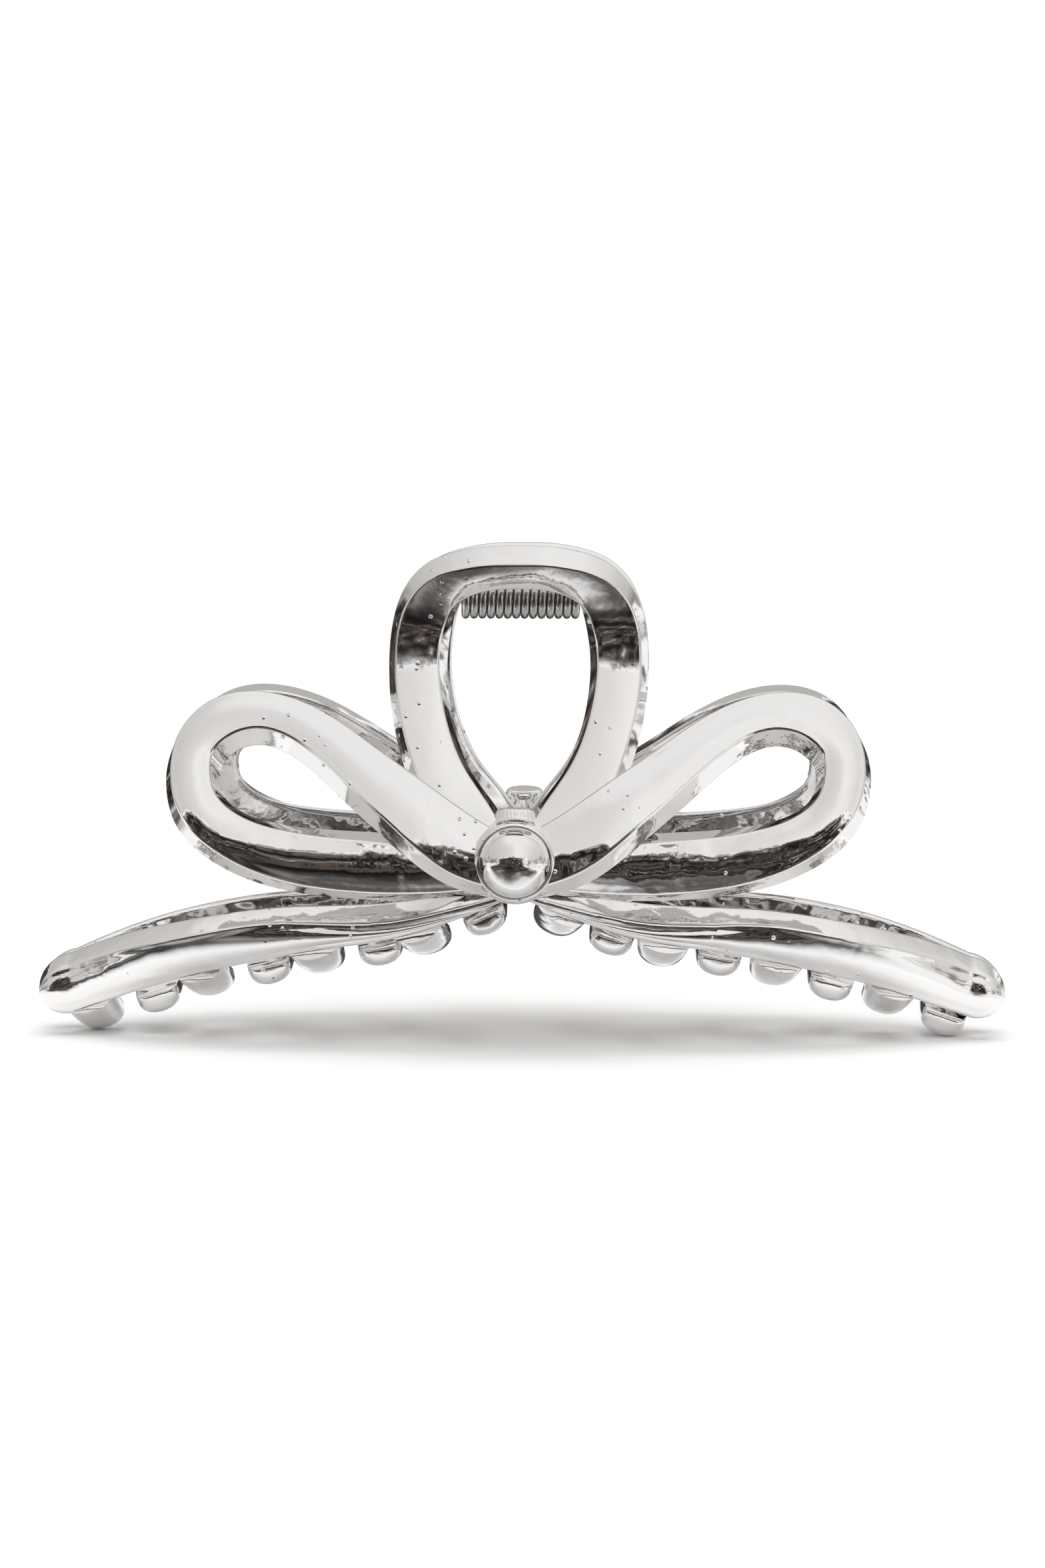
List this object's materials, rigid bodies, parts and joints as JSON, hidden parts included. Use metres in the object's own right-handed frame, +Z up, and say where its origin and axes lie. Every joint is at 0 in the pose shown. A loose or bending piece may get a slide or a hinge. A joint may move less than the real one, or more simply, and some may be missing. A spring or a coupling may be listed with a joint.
{
  "type": "claw hair clip",
  "caption": "Bow-shaped claw hair clip: looped jaws with interleaving curved teeth, hinged on a pin and sprung shut.",
  "frame": {"origin": "under the middle of the clip, at the height of its lowest teeth", "axes": "+X along the clip, +Z up from the teeth to the handles, front jaw on the -Y side"},
  "size_m": [0.1292, 0.0484, 0.0659],
  "materials": {
    "plated_jaw": "bright silver plating on moulded plastic",
    "pin_steel": "plain steel",
    "spring_steel": "nickel-plated spring wire"
  },
  "bodies": {
    "rear_jaw": {"rear_jaw": "plated_jaw", "hinge_pin": "pin_steel", "torsion_spring": "spring_steel"},
    "front_jaw": {"front_jaw": "plated_jaw"}
  },
  "joints": [
    {"name": "jaw_hinge", "type": "hinge", "parent": "rear_jaw", "child": "front_jaw", "pos_m": [0, 0, 0.05847], "axis": [-1, 0, 0], "range_deg": [0, 90], "stiffness_Nm_per_rad": 0.06, "springref_deg": -100.27, "deforming": ["torsion_spring"]}
  ]
}
